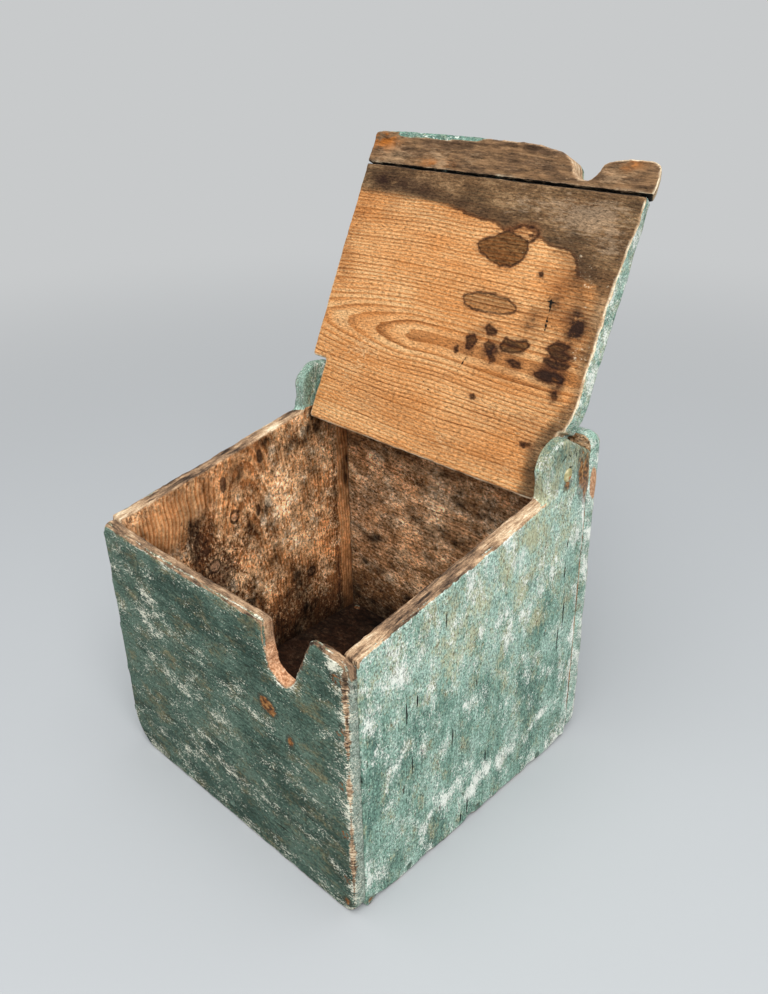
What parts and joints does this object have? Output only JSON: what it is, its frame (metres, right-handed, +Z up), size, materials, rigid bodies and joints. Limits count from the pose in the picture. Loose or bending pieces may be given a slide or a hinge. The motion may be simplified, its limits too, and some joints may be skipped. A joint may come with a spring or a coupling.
{
  "type": "salt box",
  "caption": "Square-sided wooden salt box of nailed boards with a sloping lid that turns on wooden pegs between two round-topped ears; the front board and the lid's edge are notched.",
  "frame": {"origin": "middle of the box's footprint, on its underside", "axes": "+X to the right across the front, +Y from the front to the back, +Z up"},
  "size_m": [0.253, 0.3073, 0.4296],
  "materials": {
    "painted_side": "worn chalky green paint over vertical pine grain, bare inside",
    "painted_front": "worn blue-green paint over level pine grain, bare inside",
    "painted_back": "worn green paint outside, bare brown pine inside",
    "bare_floor": "bare dark pine stained by use",
    "peg_wood": "whittled hardwood, end painted over",
    "nail_iron": "hand-forged iron, rusted",
    "lid_wood": "bare warm pine beneath, green paint on top",
    "strip_wood": "bare weathered grey-brown pine"
  },
  "bodies": {
    "box": {"left_side": "painted_side", "right_side": "painted_side", "front_board": "painted_front", "back_board": "painted_back", "bottom_board": "bare_floor", "pivot_peg_left": "peg_wood", "pivot_peg_right": "peg_wood", "front_nails_left": "nail_iron", "front_nails_right": "nail_iron", "back_nails_left": "nail_iron", "back_nails_right": "nail_iron", "bottom_nails_left": "nail_iron", "bottom_nails_right": "nail_iron", "bottom_nails_front": "nail_iron", "bottom_nails_back": "nail_iron", "floor_nail": "nail_iron"},
    "lid": {"lid_board": "lid_wood", "lid_front_strip": "strip_wood", "strip_nails": "nail_iron"}
  },
  "joints": [
    {"name": "lid_hinge", "type": "hinge", "parent": "box", "child": "lid", "pos_m": [0, 0.0842, 0.2383], "axis": [1, 0, 0], "range_deg": [0, 126.1]}
  ]
}
